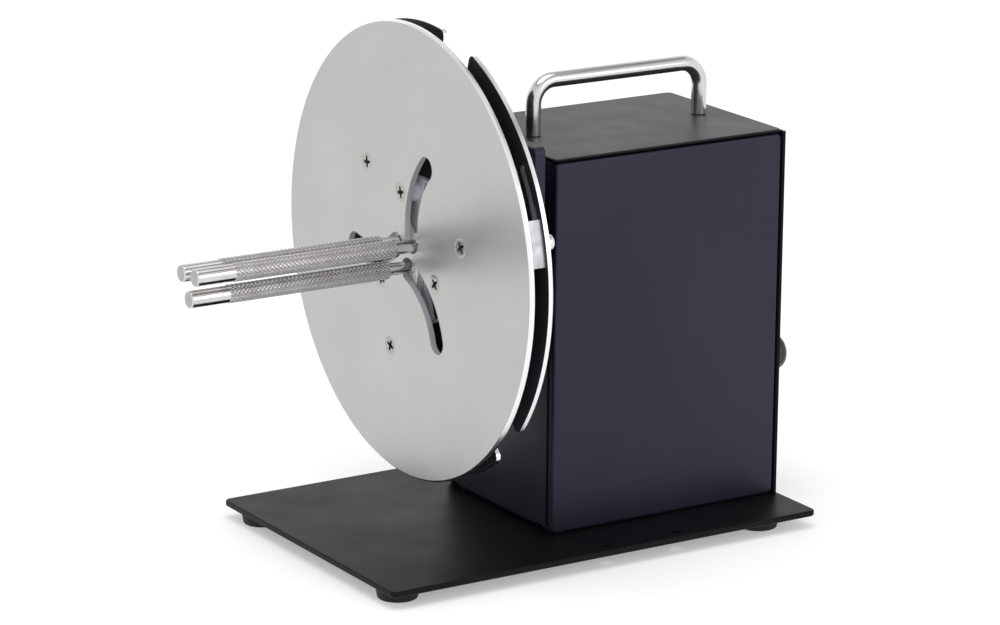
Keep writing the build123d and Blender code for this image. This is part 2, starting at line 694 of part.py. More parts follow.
def bearing_ring(front, bore, outer):
    """Ring of a ball bearing with its half of the groove."""
    with BuildPart() as ring:
        with BuildSketch(at_depth(front + BEARING_WIDTH)):
            Circle(outer)
            Circle(bore, mode=Mode.SUBTRACT)
        extrude(amount=BEARING_WIDTH)
        with Locations(at_depth(front + BEARING_WIDTH / 2)):
            Torus(ball_circle, groove_radius, mode=Mode.SUBTRACT)
    return ring.part


def bearing_balls(front):
    """Balls of a bearing, evenly round the groove."""
    with BuildPart() as balls:
        with Locations(at_depth(front + BEARING_WIDTH / 2)):
            with PolarLocations(ball_circle, BALL_COUNT):
                Sphere(BALL_RADIUS)
    return balls.part


for place, bearing_front in (("front", FRONT_BEARING), ("rear", REAR_BEARING)):
    save(bearing_ring(bearing_front, OUTER_RING_RADIUS, BEARING_RADIUS), f"{place}_bearing_outer_ring")
    save(bearing_ring(bearing_front, SHAFT_RADIUS, INNER_RING_RADIUS), f"{place}_bearing_inner_ring")
    save(bearing_balls(bearing_front), f"{place}_bearing_balls")

# Shaft, stepped up between the bearings

shaft_front = HUB_DISC_BACK + SHAFT_SETBACK
key_back = CRANK_END - KEY_SETBACK
key_centre = (0, SHAFT_RADIUS - KEY_SINK)
with BuildPart() as shaft:
    with BuildSketch(at_depth(CRANK_END)):
        Circle(SHAFT_RADIUS)
    extrude(amount=CRANK_END - shaft_front)
    chamfer(shaft.edges(), length=EDGE_BREAK)
    with BuildSketch(at_depth(REAR_BEARING)):
        Circle(SHAFT_SHOULDER)
    extrude(amount=REAR_BEARING - FRONT_BEARING - BEARING_WIDTH)
    with BuildSketch(at_depth(key_back)):
        with Locations(key_centre):
            Rectangle(KEY_SIZE, KEY_SIZE)
    extrude(amount=key_back - CRANK_FRONT, mode=Mode.SUBTRACT)
    shaft_end = Plane(origin=(0, FLANGE_FACE + CRANK_END, SHAFT_HEIGHT), x_dir=(-1, 0, 0), z_dir=(0, 1, 0))
    with Locations(shaft_end):
        Hole(M4, depth=CRANK_THREAD)
save(shaft.part, "shaft")

# Sleeve that keeps the crank off the rear bearing

with BuildPart() as crank_spacer:
    with BuildSketch(at_depth(CRANK_FRONT)):
        Circle(INNER_RING_RADIUS)
        Circle(SHAFT_RADIUS, mode=Mode.SUBTRACT)
    extrude(amount=CRANK_FRONT - REAR_BEARING - BEARING_WIDTH)
save(crank_spacer.part, "crank_spacer")

# Crank arm, hanging down, with its key, end screw and washer

with BuildPart() as crank_arm:
    with BuildSketch(at_depth(CRANK_BACK)):
        Circle(CRANK_BOSS_RADIUS)
        with Locations((0, -CRANK_RADIUS)):
            Circle(CRANK_TIP_RADIUS)
        make_hull()
    extrude(amount=CRANK_THICKNESS)
    fillet(crank_arm.faces().sort_by(Axis.Y)[-1].edges(), radius=CRANK_FILLET)
    with BuildSketch(at_depth(CRANK_END)):
        Circle(CRANK_BOSS_RADIUS - CRANK_STEP)
    extrude(amount=CRANK_END - CRANK_BACK)
    chamfer(crank_arm.faces().sort_by(Axis.Y)[-1].edges(), length=EDGE_BREAK)
    with BuildSketch(at_depth(CRANK_END)):
        Circle(SHAFT_RADIUS)
        with Locations((0, -CRANK_RADIUS)):
            Circle(GRIP_PIN_RADIUS)
    extrude(amount=CRANK_END - CRANK_FRONT, mode=Mode.SUBTRACT)
    with BuildSketch(at_depth(key_back)):
        with Locations(key_centre):
            Rectangle(KEY_SIZE, KEY_SIZE)
    extrude(amount=key_back - CRANK_FRONT, mode=Mode.SUBTRACT)
save(crank_arm.part, "crank_arm")

with BuildPart() as crank_key:
    with BuildSketch(at_depth(key_back)):
        with Locations(key_centre):
            Rectangle(KEY_SIZE, KEY_SIZE)
    extrude(amount=key_back - CRANK_FRONT)
save(crank_key.part, "crank_key")

with BuildPart() as crank_washer:
    with Locations(shaft_end):
        add(washer(M4 + LOOSE, CRANK_WASHER_RADIUS, CRANK_WASHER_THICKNESS))
save(crank_washer.part, "crank_washer")

with BuildPart() as crank_end_screw:
    with Locations(shaft_end.offset(CRANK_WASHER_THICKNESS)):
        add(pan_screw(M4, CRANK_THREAD + CRANK_WASHER_THICKNESS))
save(crank_end_screw.part, "crank_end_screw")

# Grip pin, revolving grip and the cap over the pin's head

grip_front = CRANK_BACK + PLAY
grip_back = GRIP_END - CAP_HEIGHT
pin_head_front = grip_back - PIN_HEAD_SINK
pin_head_radius = GRIP_PIN_RADIUS + PIN_HEAD_STEP
cap_socket = pin_head_radius + CAP_RIM
grip_axis = (0, -CRANK_RADIUS)
with BuildPart() as grip_pin:
    with BuildSketch(at_depth(pin_head_front)):
        with Locations(grip_axis):
            Circle(GRIP_PIN_RADIUS)
    extrude(amount=pin_head_front - CRANK_FRONT)
    with BuildSketch(at_depth(pin_head_front + PIN_HEAD_THICKNESS)):
        with Locations(grip_axis):
            Circle(pin_head_radius)
    extrude(amount=PIN_HEAD_THICKNESS)
save(grip_pin.part, "grip_pin")

with BuildPart() as crank_grip:
    with BuildSketch(at_depth(grip_back)):
        with Locations(grip_axis):
            Circle(GRIP_RADIUS)
            Circle(GRIP_PIN_RADIUS + RUNNING, mode=Mode.SUBTRACT)
    extrude(amount=grip_back - grip_front)
    with BuildSketch(at_depth(grip_back)):
        with Locations(grip_axis):
            Circle(cap_socket)
    extrude(amount=grip_back - pin_head_front + PLAY, mode=Mode.SUBTRACT)
    grip_rim = crank_grip.faces().sort_by(Axis.Y)[0].outer_wire().edges()
    fillet(grip_rim, radius=GRIP_FILLET)
save(crank_grip.part, "crank_grip")

with BuildPart() as grip_cap:
    with BuildSketch(at_depth(grip_back)):
        with Locations(grip_axis):
            Circle(cap_socket)
    extrude(amount=CAP_PLUG)
    with BuildSketch(at_depth(GRIP_END)):
        with Locations(grip_axis):
            Circle(GRIP_RADIUS)
    extrude(amount=CAP_HEIGHT)
    fillet(grip_cap.faces().sort_by(Axis.Y)[-1].edges(), radius=CAP_FILLET)
save(grip_cap.part, "grip_cap")

# Flange with three curved slots, one for each core rod

pivot = polar(PIVOT_CIRCLE, PIVOT_ANGLE)
slot_closed_margin = degrees(SLOT_RELIEF / ARM_LENGTH)
slot_start = ARM_REST_ANGLE - ARM_SWING
slot_sweep = ARM_SWING - slot_closed_margin
curved_slot = arc_slot(pivot, ARM_LENGTH, SLOT_WIDTH, slot_start, slot_sweep)
dowel_sweep = DOWEL_SHARE * LOCK_SWEEP
dowel_angles = (LOCK_ANGLE - dowel_sweep, LOCK_ANGLE + dowel_sweep)
with BuildPart() as front_flange:
    with BuildSketch(at_depth(FLANGE_THICKNESS)):
        Circle(FLANGE_RADIUS)
        with PolarLocations(0, 3):
            add(curved_slot, mode=Mode.SUBTRACT)
    extrude(amount=FLANGE_THICKNESS)
    rims = front_flange.edges().filter_by(GeomType.CIRCLE).group_by(SortBy.RADIUS)[-1]
    chamfer(rims, length=FLANGE_CHAMFER)
    with Locations(at_depth(0)):
        with PolarLocations(HUB_POST_CIRCLE, 3, HUB_POST_ANGLE):
            CounterSinkHole(
                M5, HEAD_RATIO * M5, depth=FLANGE_THICKNESS, counter_sink_angle=COUNTERSINK_ANGLE
            )
        with PolarLocations(PIVOT_CIRCLE, 3, PIVOT_ANGLE):
            CounterSinkHole(
                M5, HEAD_RATIO * M5, depth=FLANGE_THICKNESS, counter_sink_angle=COUNTERSINK_ANGLE
            )
    with BuildSketch(at_depth(FLANGE_THICKNESS)):
        for angle in dowel_angles:
            with PolarLocations(DOWEL_CIRCLE, 3, angle):
                Circle(DOWEL_RADIUS)
    extrude(amount=DOWEL_IN_FLANGE, mode=Mode.SUBTRACT)
save(front_flange.part, "front_flange")

# Hub: windowed disc, three posts in front of it and a stepped barrel behind it

journal_back = ADJUSTER_BACK + JOURNAL_STEP
barrel_back = PLATE_FRONT - BEARING_FLANGE_THICKNESS - BARREL_GAP
ring_front = ADJUSTER_BACK + PLAY
ring_groove_radius = JOURNAL_RADIUS - RING_GROOVE
set_screw_depth = (journal_back + barrel_back) / 2
window = sector(WINDOW_INNER, WINDOW_OUTER, WINDOW_ANGLE, WINDOW_SWEEP)
barrel_steps = (
    (HUB_DISC_BACK, journal_back, JOURNAL_RADIUS),
    (journal_back, barrel_back, BARREL_RADIUS),
    (barrel_back, FRONT_BEARING, INNER_RING_RADIUS),
)
with BuildPart() as spindle_hub:
    with BuildSketch(at_depth(HUB_DISC_BACK)):
        Circle(HUB_DISC_RADIUS)
        with PolarLocations(0, 3):
            add(window, mode=Mode.SUBTRACT)
    extrude(amount=HUB_DISC_THICKNESS)
    with BuildSketch(at_depth(HUB_DISC_FRONT)):
        with PolarLocations(HUB_POST_CIRCLE, 3, HUB_POST_ANGLE):
            Circle(HUB_POST_RADIUS)
    extrude(amount=HUB_DISC_FRONT - FLANGE_THICKNESS)
    for step_front, step_back, step_radius in barrel_steps:
        with BuildSketch(at_depth(step_back)):
            Circle(step_radius)
        extrude(amount=step_back - step_front)
    with BuildSketch(at_depth(FRONT_BEARING)):
        Circle(SHAFT_RADIUS)
    extrude(amount=FRONT_BEARING - shaft_front, mode=Mode.SUBTRACT)
    with BuildSketch(at_depth(ring_front + RING_THICKNESS)):
        Circle(JOURNAL_RADIUS)
        Circle(ring_groove_radius, mode=Mode.SUBTRACT)
    extrude(amount=RING_THICKNESS, mode=Mode.SUBTRACT)
    with BuildSketch(at_depth(HUB_DISC_BACK)):
        with PolarLocations(HUB_POST_CIRCLE, 3, HUB_POST_ANGLE):
            Circle(M5)
    extrude(amount=HUB_DISC_BACK - FLANGE_THICKNESS, mode=Mode.SUBTRACT)
    for turn in (0, 90):
        with BuildSketch(radial_plane(set_screw_depth, turn, 0)):
            Circle(M5)
        extrude(amount=2 * BARREL_RADIUS, mode=Mode.SUBTRACT)
save(spindle_hub.part, "spindle_hub")

set_screw = grub_screw(M5, BARREL_RADIUS - SHAFT_RADIUS - THREAD_END)
with BuildPart() as hub_set_screws:
    for turn in (0, 90):
        with Locations(radial_plane(set_screw_depth, turn, BARREL_RADIUS - THREAD_END)):
            add(set_screw)
save(hub_set_screws.part, "hub_set_screws")

with BuildPart() as disc_ring:
    with BuildSketch(at_depth(ring_front + RING_THICKNESS)):
        Circle(JOURNAL_RADIUS + RING_STEP)
        Circle(ring_groove_radius, mode=Mode.SUBTRACT)
        with Locations((0, JOURNAL_RADIUS)):
            Rectangle(RING_MOUTH, RING_MOUTH, mode=Mode.SUBTRACT)
    extrude(amount=RING_THICKNESS)
save(disc_ring.part, "disc_retaining_ring")

# Screws in the flange's face

post_screw = countersunk_screw(M5, HUB_DISC_BACK - THREAD_END)
pivot_screw = countersunk_screw(M5, PIVOT_HEAD_BACK - 2 * THREAD_END)
with BuildPart() as hub_screws:
    with Locations(at_depth(0)):
        with PolarLocations(HUB_POST_CIRCLE, 3, HUB_POST_ANGLE):
            add(post_screw)
save(hub_screws.part, "hub_screws")

with BuildPart() as pivot_screws:
    with Locations(at_depth(0)):
        with PolarLocations(PIVOT_CIRCLE, 3, PIVOT_ANGLE):
            add(pivot_screw)
save(pivot_screws.part, "pivot_screws")

# Pivot posts: a journal for each swing arm and a head that keeps the arm on

with BuildPart() as pivot_posts:
    with BuildSketch(at_depth(PIVOT_HEAD_BACK)):
        with PolarLocations(PIVOT_CIRCLE, 3, PIVOT_ANGLE):
            Circle(PIVOT_HEAD_RADIUS)
    extrude(amount=PIVOT_HEAD_BACK - ARM_BACK - PLAY)
    with BuildSketch(at_depth(ARM_BACK + PLAY)):
        with PolarLocations(PIVOT_CIRCLE, 3, PIVOT_ANGLE):
            Circle(PIVOT_POST_RADIUS)
    extrude(amount=ARM_BACK + PLAY - FLANGE_THICKNESS)
    with BuildSketch(at_depth(PIVOT_HEAD_BACK - THREAD_END)):
        with PolarLocations(PIVOT_CIRCLE, 3, PIVOT_ANGLE):
            Circle(M5)
    extrude(amount=PIVOT_HEAD_BACK - THREAD_END - FLANGE_THICKNESS, mode=Mode.SUBTRACT)
save(pivot_posts.part, "pivot_posts")

# Lock blocks on the flange's back, their dowels and their screws

lock_segment = sector(LOCK_INNER, LOCK_OUTER, LOCK_ANGLE - LOCK_SWEEP / 2, LOCK_SWEEP)
with BuildPart() as lock_blocks:
    with BuildSketch(at_depth(ADJUSTER_FRONT)):
        with PolarLocations(0, 3):
            add(lock_segment)
        with PolarLocations(LOCK_SCREW_CIRCLE, 3, LOCK_ANGLE):
            Circle(M4 + RUNNING, mode=Mode.SUBTRACT)
    extrude(amount=DISC_GAP)
    with BuildSketch(at_depth(FLANGE_THICKNESS + DOWEL_IN_BLOCK)):
        for angle in dowel_angles:
            with PolarLocations(DOWEL_CIRCLE, 3, angle):
                Circle(DOWEL_RADIUS)
    extrude(amount=DOWEL_IN_BLOCK, mode=Mode.SUBTRACT)
save(lock_blocks.part, "lock_blocks")

with BuildPart() as block_dowels:
    with BuildSketch(at_depth(FLANGE_THICKNESS + DOWEL_IN_BLOCK)):
        for angle in dowel_angles:
            with PolarLocations(DOWEL_CIRCLE, 3, angle):
                Circle(DOWEL_RADIUS)
    extrude(amount=DOWEL_IN_BLOCK + DOWEL_IN_FLANGE)
save(block_dowels.part, "block_dowels")

lock_head_front = ADJUSTER_BACK + LOCK_HEAD_GAP
lock_head_back = lock_head_front + LOCK_HEAD_HEIGHT
lock_screw_tip = FLANGE_THICKNESS + LOCK_TIP_GAP
lock_axis = polar(LOCK_SCREW_CIRCLE, LOCK_ANGLE)
for number in (1, 2, 3):
    turn = 120 * (number - 1)
    with BuildPart() as lock_screw:
        with BuildSketch(at_depth(lock_head_back, turn)):
            with Locations(lock_axis):
                Circle(LOCK_HEAD_RADIUS)
        extrude(amount=LOCK_HEAD_HEIGHT)
        fillet(lock_screw.faces().sort_by(Axis.Y)[-1].edges(), radius=LOCK_HEAD_FILLET)
        with BuildSketch(at_depth(lock_head_front, turn)):
            with Locations(lock_axis):
                Circle(M4)
        extrude(amount=lock_head_front - lock_screw_tip)
        with BuildSketch(at_depth(lock_head_back, turn)):
            with Locations(lock_axis):
                RegularPolygon(LOCK_SOCKET_RADIUS, 6)
        extrude(amount=LOCK_SOCKET_DEPTH, mode=Mode.SUBTRACT)
    save(lock_screw.part, f"lock_screw_{number}")

# Adjuster disc: rim notches, radial slots for the tail pins and curved slots for the lock screws

tail_slot_circle = (TAIL_CIRCLE_MIN + TAIL_CIRCLE_MAX) / 2
tail_slot_width = 2 * (TAIL_PIN_RADIUS + PLAY)
tail_slot_length = TAIL_CIRCLE_MAX - TAIL_CIRCLE_MIN + 2 * PLAY
tail_slot_angle = PIVOT_ANGLE + TAIL_OFFSET
lock_slot = arc_slot(
    (0, 0),
    LOCK_SCREW_CIRCLE,
    2 * (M4 + PLAY),
    LOCK_ANGLE - LOCK_SLOT_MARGIN,
    ADJUSTER_TRAVEL + 2 * LOCK_SLOT_MARGIN,
)
with BuildPart() as adjuster_disc:
    with BuildSketch(at_depth(ADJUSTER_BACK)) as disc:
        Circle(ADJUSTER_RADIUS)
        with PolarLocations(ADJUSTER_RADIUS, 3, NOTCH_ANGLE):
            Rectangle(2 * NOTCH_DEPTH, NOTCH_WIDTH, mode=Mode.SUBTRACT)
        fillet(disc.vertices(), radius=NOTCH_FILLET)
        Circle(JOURNAL_RADIUS + RUNNING, mode=Mode.SUBTRACT)
        with PolarLocations(tail_slot_circle, 3, tail_slot_angle):
            SlotCenterToCenter(tail_slot_length, tail_slot_width, mode=Mode.SUBTRACT)
        with PolarLocations(0, 3):
            add(lock_slot, mode=Mode.SUBTRACT)
    extrude(amount=ADJUSTER_THICKNESS)
save(adjuster_disc.part, "adjuster_disc")

# Swing arms, each with its core rod, rod screw and tail pin

rod_point = tuple(Vector(*pivot) + Vector(*polar(ARM_LENGTH, ARM_REST_ANGLE)))[:2]
tail_point = tuple(Vector(*pivot) + Vector(*polar(TAIL_LENGTH, TAIL_REST_ANGLE)))[:2]
pin_back = ADJUSTER_BACK + PIN_OVERHANG
rod_knurl_front = ROD_TIP_LENGTH - ROD_LENGTH
rod_steps = (
    (-ROD_LENGTH, rod_knurl_front, ROD_TIP_RADIUS),
    (rod_knurl_front, -ROD_NECK_LENGTH, ROD_GRIP_RADIUS),
    (-ROD_NECK_LENGTH, ARM_FRONT + ROD_SPIGOT, ROD_NECK_RADIUS),
)


def swing_arm(turn):
    """Bell crank from the core rod over the pivot to the tail pin."""
    with BuildPart() as arm:
        with BuildSketch(at_depth(ARM_BACK, turn)):
            with Locations(rod_point):
                Circle(ARM_ROD_BOSS)
            with Locations(pivot):
                Circle(ARM_PIVOT_BOSS)
            make_hull()
        extrude(amount=ARM_THICKNESS)
        with BuildSketch(at_depth(ARM_BACK, turn)):
            with Locations(pivot):
                Circle(ARM_PIVOT_BOSS)
            with Locations(tail_point):
                Circle(ARM_TAIL_BOSS)
            make_hull()
        extrude(amount=ARM_THICKNESS)
        with BuildSketch(at_depth(ARM_BACK, turn)):
            with Locations(pivot):
                Circle(PIVOT_POST_RADIUS + RUNNING)
            with Locations(tail_point):
                Circle(TAIL_PIN_RADIUS)
            with Locations(rod_point):
                Circle(M3)
        extrude(amount=ARM_THICKNESS, mode=Mode.SUBTRACT)
        with BuildSketch(at_depth(ARM_FRONT + ROD_SPIGOT, turn)):
            with Locations(rod_point):
                Circle(ROD_NECK_RADIUS)
        extrude(amount=ROD_SPIGOT, mode=Mode.SUBTRACT)
        with BuildSketch(at_depth(ARM_BACK, turn)):
            with Locations(rod_point):
                Circle(HEAD_RATIO * M3)
        with BuildSketch(at_depth(ARM_BACK - (HEAD_RATIO - 1) * M3, turn)):
            with Locations(rod_point):
                Circle(M3)
        loft(mode=Mode.SUBTRACT)
    return arm.part


def core_rod(turn):
    """Rod with a plain tip, a knurled grip and a plain neck that stands in the arm."""
    with BuildPart() as rod:
        for step_front, step_back, step_radius in rod_steps:
            with BuildSketch(at_depth(step_back, turn)):
                with Locations(rod_point):
                    Circle(step_radius)
            extrude(amount=step_back - step_front)
        tip_rim = rod.edges().filter_by(GeomType.CIRCLE).sort_by(Axis.Y)[0]
        chamfer(tip_rim, length=EDGE_BREAK)
        grip_rims = rod.edges().filter_by(GeomType.CIRCLE).group_by(SortBy.RADIUS)[-1]
        chamfer(grip_rims, length=KNURL_BREAK)
        with BuildSketch(at_depth(ARM_FRONT + ROD_SPIGOT, turn)):
            with Locations(rod_point):
                Circle(M3)
        extrude(amount=ROD_SCREW_LENGTH, mode=Mode.SUBTRACT)
    return rod.part


def rod_screw(turn):
    """Screw that holds the rod to the arm from behind."""
    with BuildPart() as screw:
        behind = at_depth(ARM_BACK, turn)
        behind = Plane(origin=behind.origin, x_dir=behind.x_dir, z_dir=(0, 1, 0))
        x, y = rod_point
        with Locations(behind):
            with Locations((x, -y)):
                add(countersunk_screw(M3, ROD_SCREW_LENGTH))
    return screw.part


def tail_pin(turn):
    """Pin that is pressed into the arm's tail and runs in a slot of the adjuster disc."""
    with BuildPart() as pin:
        with BuildSketch(at_depth(pin_back, turn)):
            with Locations(tail_point):
                Circle(TAIL_PIN_RADIUS)
        extrude(amount=pin_back - ARM_FRONT)
        chamfer(pin.faces().sort_by(Axis.Y)[-1].edges(), length=EDGE_BREAK)
    return pin.part


for number in (1, 2, 3):
    turn = 120 * (number - 1)
    save(swing_arm(turn), f"swing_arm_{number}")
    save(core_rod(turn), f"core_rod_{number}")
    save(rod_screw(turn), f"rod_screw_{number}")
    save(tail_pin(turn), f"tail_pin_{number}")
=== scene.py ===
import math

import bmesh
import bpy
from mathutils import Matrix, Vector


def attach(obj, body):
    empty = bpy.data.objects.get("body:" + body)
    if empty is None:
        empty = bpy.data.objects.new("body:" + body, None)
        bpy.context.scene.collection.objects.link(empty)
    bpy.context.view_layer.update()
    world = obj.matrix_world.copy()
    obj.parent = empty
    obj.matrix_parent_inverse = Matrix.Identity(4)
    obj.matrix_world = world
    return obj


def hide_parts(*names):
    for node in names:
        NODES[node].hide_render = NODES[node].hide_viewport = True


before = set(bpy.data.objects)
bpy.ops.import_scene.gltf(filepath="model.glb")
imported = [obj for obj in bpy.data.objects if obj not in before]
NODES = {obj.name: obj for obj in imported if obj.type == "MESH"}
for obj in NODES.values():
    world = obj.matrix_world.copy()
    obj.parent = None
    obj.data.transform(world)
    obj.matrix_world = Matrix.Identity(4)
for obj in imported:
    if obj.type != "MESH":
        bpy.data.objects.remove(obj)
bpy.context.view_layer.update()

# Everything is in metres, in the frame of the CAD: +Z up, +Y from the core rods to the crank.
MM = 0.001
FLANGE_Y = -52 * MM
SHAFT_Z = 145 * MM


# Camera, as fitted to the edges of the housing, the base plate and the flange

CAMERA_PLACE = (1.6342, -1.0333, 0.6409)
CAMERA_YAW = math.radians(57.664)
CAMERA_PITCH = math.radians(15.407)
CAMERA_ROLL = math.radians(0.526)
CAMERA_LENS = 150.33

camera = bpy.data.objects.new("camera", bpy.data.cameras.new("camera"))
bpy.context.scene.collection.objects.link(camera)
camera.data.lens = CAMERA_LENS
camera.data.sensor_width = 36
camera.data.clip_start = 0.05
camera.data.clip_end = 100
turned = (
    Matrix.Rotation(CAMERA_YAW, 4, "Z")
    @ Matrix.Rotation(math.pi / 2 - CAMERA_PITCH, 4, "X")
    @ Matrix.Rotation(CAMERA_ROLL, 4, "Z")
)
camera.matrix_world = Matrix.Translation(CAMERA_PLACE) @ turned
bpy.context.scene.camera = camera


# Light: a white room with a darker ring high up, and two soft lamps

bpy.context.scene.view_settings.view_transform = "Standard"

WALL_LIGHT = 1.12
CEILING_LIGHT = 0.85
RING_LIGHT = 0.3
LAMP_LIGHT = 1.25
HORIZON_START = 0.46
HORIZON_END = 0.54

world = bpy.data.worlds.new("room")
bpy.context.scene.world = world
world.use_nodes = True
room = world.node_tree
direction = room.nodes.new("ShaderNodeTexCoord")
height = room.nodes.new("ShaderNodeSeparateXYZ")
levels = room.nodes.new("ShaderNodeValToRGB")
room.links.new(direction.outputs["Generated"], height.inputs[0])
room.links.new(height.outputs["Z"], levels.inputs["Fac"])
room.links.new(levels.outputs["Color"], room.nodes["Background"].inputs["Color"])
ramp = levels.color_ramp
ramp.elements[0].position = HORIZON_START
ramp.elements[0].color = (WALL_LIGHT, WALL_LIGHT, WALL_LIGHT, 1)
ramp.elements[1].position = HORIZON_END
ramp.elements[1].color = (CEILING_LIGHT, CEILING_LIGHT, CEILING_LIGHT, 1)
RING_LEVELS = ((0.76, CEILING_LIGHT), (0.79, RING_LIGHT), (0.84, RING_LIGHT), (0.87, LAMP_LIGHT))
for place, level in RING_LEVELS:
    ramp.elements.new(place).color = (level, level, level, 1)

LAMP_AIM = (0, 0, 0.12)


def soft_lamp(name, place, size, power):
    """Square lamp that shines from place towards the middle of the machine."""
    lamp = bpy.data.objects.new(name, bpy.data.lights.new(name, "AREA"))
    bpy.context.scene.collection.objects.link(lamp)
    lamp.data.shape = "SQUARE"
    lamp.data.size = size
    lamp.data.energy = power
    lamp.location = place
    lamp.rotation_euler = (Vector(LAMP_AIM) - Vector(place)).to_track_quat("-Z", "Y").to_euler()


soft_lamp("lamp_over", (0.2, -0.3, 2.4), 1.6, 16)
soft_lamp("lamp_side", (2.2, 0.9, 0.9), 1.2, 7)


# Materials

# The part of a noise's range that moves a number, and the part that moves a colour
VARY_SPAN = (0.3, 0.7)
TINT_SPAN = (0.35, 0.65)


class Finish:
    """A material built round one Principled shader, with patterns in the object's own space."""

    def __init__(self, name, colour, metal, rough, **sockets):
        self.material = bpy.data.materials.new(name)
        self.material.use_nodes = True
        self.tree = self.material.node_tree
        self.shader = self.tree.nodes["Principled BSDF"]
        self.shader.inputs["Base Color"].default_value = (*colour, 1)
        self.shader.inputs["Metallic"].default_value = metal
        self.shader.inputs["Roughness"].default_value = rough
        for socket, value in sockets.items():
            self.shader.inputs[socket.replace("_", " ")].default_value = value
        self.place = self.tree.nodes.new("ShaderNodeTexCoord").outputs["Object"]
        self.material.diffuse_color = (*colour, 1)

    def node(self, kind, **values):
        """New node with these properties."""
        made = self.tree.nodes.new(kind)
        for key, value in values.items():
            setattr(made, key, value)
        return made

    def stretched(self, scale):
        """The place, scaled along x, y and z."""
        mapping = self.node("ShaderNodeMapping")
        mapping.inputs["Scale"].default_value = scale
        self.tree.links.new(self.place, mapping.inputs["Vector"])
        return mapping.outputs["Vector"]

    def noise(self, scale, detail, stretch=None):
        """Noise of this many features to a metre."""
        made = self.node("ShaderNodeTexNoise")
        made.inputs["Scale"].default_value = scale
        made.inputs["Detail"].default_value = detail
        vector = self.stretched(stretch) if stretch else self.place
        self.tree.links.new(vector, made.inputs["Vector"])
        return made.outputs["Fac"]

    def ranged(self, value, start, end, low, high):
        """The value, moved from start to end into low to high."""
        made = self.node("ShaderNodeMapRange")
        for socket, number in zip(("From Min", "From Max", "To Min", "To Max"), (start, end, low, high)):
            made.inputs[socket].default_value = number
        self.tree.links.new(value, made.inputs["Value"])
        return made.outputs["Result"]

    def vary(self, socket, value, low, high):
        """One of the shader's numbers follows a pattern between low and high."""
        spread = self.ranged(value, *VARY_SPAN, low, high)
        self.tree.links.new(spread, self.shader.inputs[socket])

    def tint(self, value, dark, light):
        """The colour follows a pattern from dark to light."""
        made = self.node("ShaderNodeMix", data_type="RGBA")
        made.inputs["A"].default_value = (*dark, 1)
        made.inputs["B"].default_value = (*light, 1)
        self.tree.links.new(self.ranged(value, *TINT_SPAN, 0, 1), made.inputs["Factor"])
        self.tree.links.new(made.outputs["Result"], self.shader.inputs["Base Color"])

    def relief(self, value, height, strength):
        """Bumps of this height, in metres."""
        made = self.node("ShaderNodeBump")
        made.inputs["Distance"].default_value = height
        made.inputs["Strength"].default_value = strength
        self.tree.links.new(value, made.inputs["Height"])
        self.tree.links.new(made.outputs["Normal"], self.shader.inputs["Normal"])


finishes = {}


def finish(name, colour, metal, rough, **sockets):
    """New finish, kept by its name."""
    finishes[name] = Finish(name, colour, metal, rough, **sockets)
    return finishes[name]


coat = finish(
    "powder_coat", (0.0075, 0.0065, 0.0125), 0, 0.4,
    Specular_Tint=(0.76, 0.71, 1.0, 1), Specular_IOR_Level=0.43,
)
coat.tint(coat.noise(13, 4), (0.0055, 0.0046, 0.0085), (0.0095, 0.0084, 0.0165))
coat.vary("Roughness", coat.noise(60, 4), 0.37, 0.43)
coat.relief(coat.noise(1500, 2), 0.00003, 0.35)

lid_coat = finish(
    "lid_coat", (0.0075, 0.0075, 0.0085), 0, 0.4,
    Specular_Tint=(0.86, 0.86, 0.9, 1), Specular_IOR_Level=0.29,
)
lid_coat.tint(lid_coat.noise(13, 4), (0.0055, 0.0055, 0.0063), (0.010, 0.010, 0.011))
lid_coat.vary("Roughness", lid_coat.noise(60, 4), 0.37, 0.43)
lid_coat.relief(lid_coat.noise(1500, 2), 0.00003, 0.35)

# Painted shade: a near-black, dull, barely reflective coat for the lid's side faces and the frame's wall
# edges, standing in for the shadowed gaps beside the panels and under the lid.
painted_shade_edge = finish("painted_shade_edge", (0.0025, 0.0025, 0.0035), 0, 0.6, Specular_IOR_Level=0.1)
painted_shade_edge.vary("Roughness", painted_shade_edge.noise(60, 4), 0.55, 0.65)

base_coat = finish("base_coat", (0.002, 0.002, 0.0025), 0, 0.42, Specular_IOR_Level=0.13)
base_coat.tint(base_coat.noise(14, 5), (0.0015, 0.0015, 0.002), (0.0026, 0.0026, 0.0032))
base_coat.vary("Roughness", base_coat.noise(45, 4), 0.38, 0.46)
base_coat.relief(base_coat.noise(1900, 2), 0.00005, 0.4)

face = finish("satin_face", (0.485, 0.485, 0.48), 1, 0.36)
face.tint(face.noise(22, 5), (0.472, 0.472, 0.467), (0.498, 0.498, 0.493))
face.vary("Roughness", face.noise(90, 5), 0.33, 0.39)
face.relief(face.noise(4200, 2), 0.00002, 0.25)

rim = finish("turned_rim", (0.86, 0.86, 0.865), 1, 0.2)
rim.vary("Roughness", rim.noise(30, 4, (1, 40, 1)), 0.16, 0.26)
rim.relief(rim.noise(25, 2, (1, 120, 1)), 0.00002, 0.2)

slot_wall = finish("milled_slot", (0.55, 0.56, 0.58), 0.35, 0.45)
slot_wall.vary("Roughness", slot_wall.noise(160, 4), 0.4, 0.5)
slot_wall.relief(slot_wall.noise(2400, 2), 0.00001, 0.3)

black_disc = finish("black_anodised", (0.026, 0.026, 0.034), 0.3, 0.4)
black_disc.tint(black_disc.noise(18, 4), (0.022, 0.022, 0.029), (0.030, 0.030, 0.039))
black_disc.vary("Roughness", black_disc.noise(70, 4), 0.36, 0.44)
black_disc.relief(black_disc.noise(3000, 2), 0.00002, 0.25)

nickel = finish("bright_nickel", (0.62, 0.605, 0.595), 1, 0.14)
nickel.vary("Roughness", nickel.noise(160, 4, (1, 0.1, 1)), 0.08, 0.17)
nickel.tint(nickel.noise(60, 3), (0.58, 0.565, 0.555), (0.66, 0.645, 0.635))

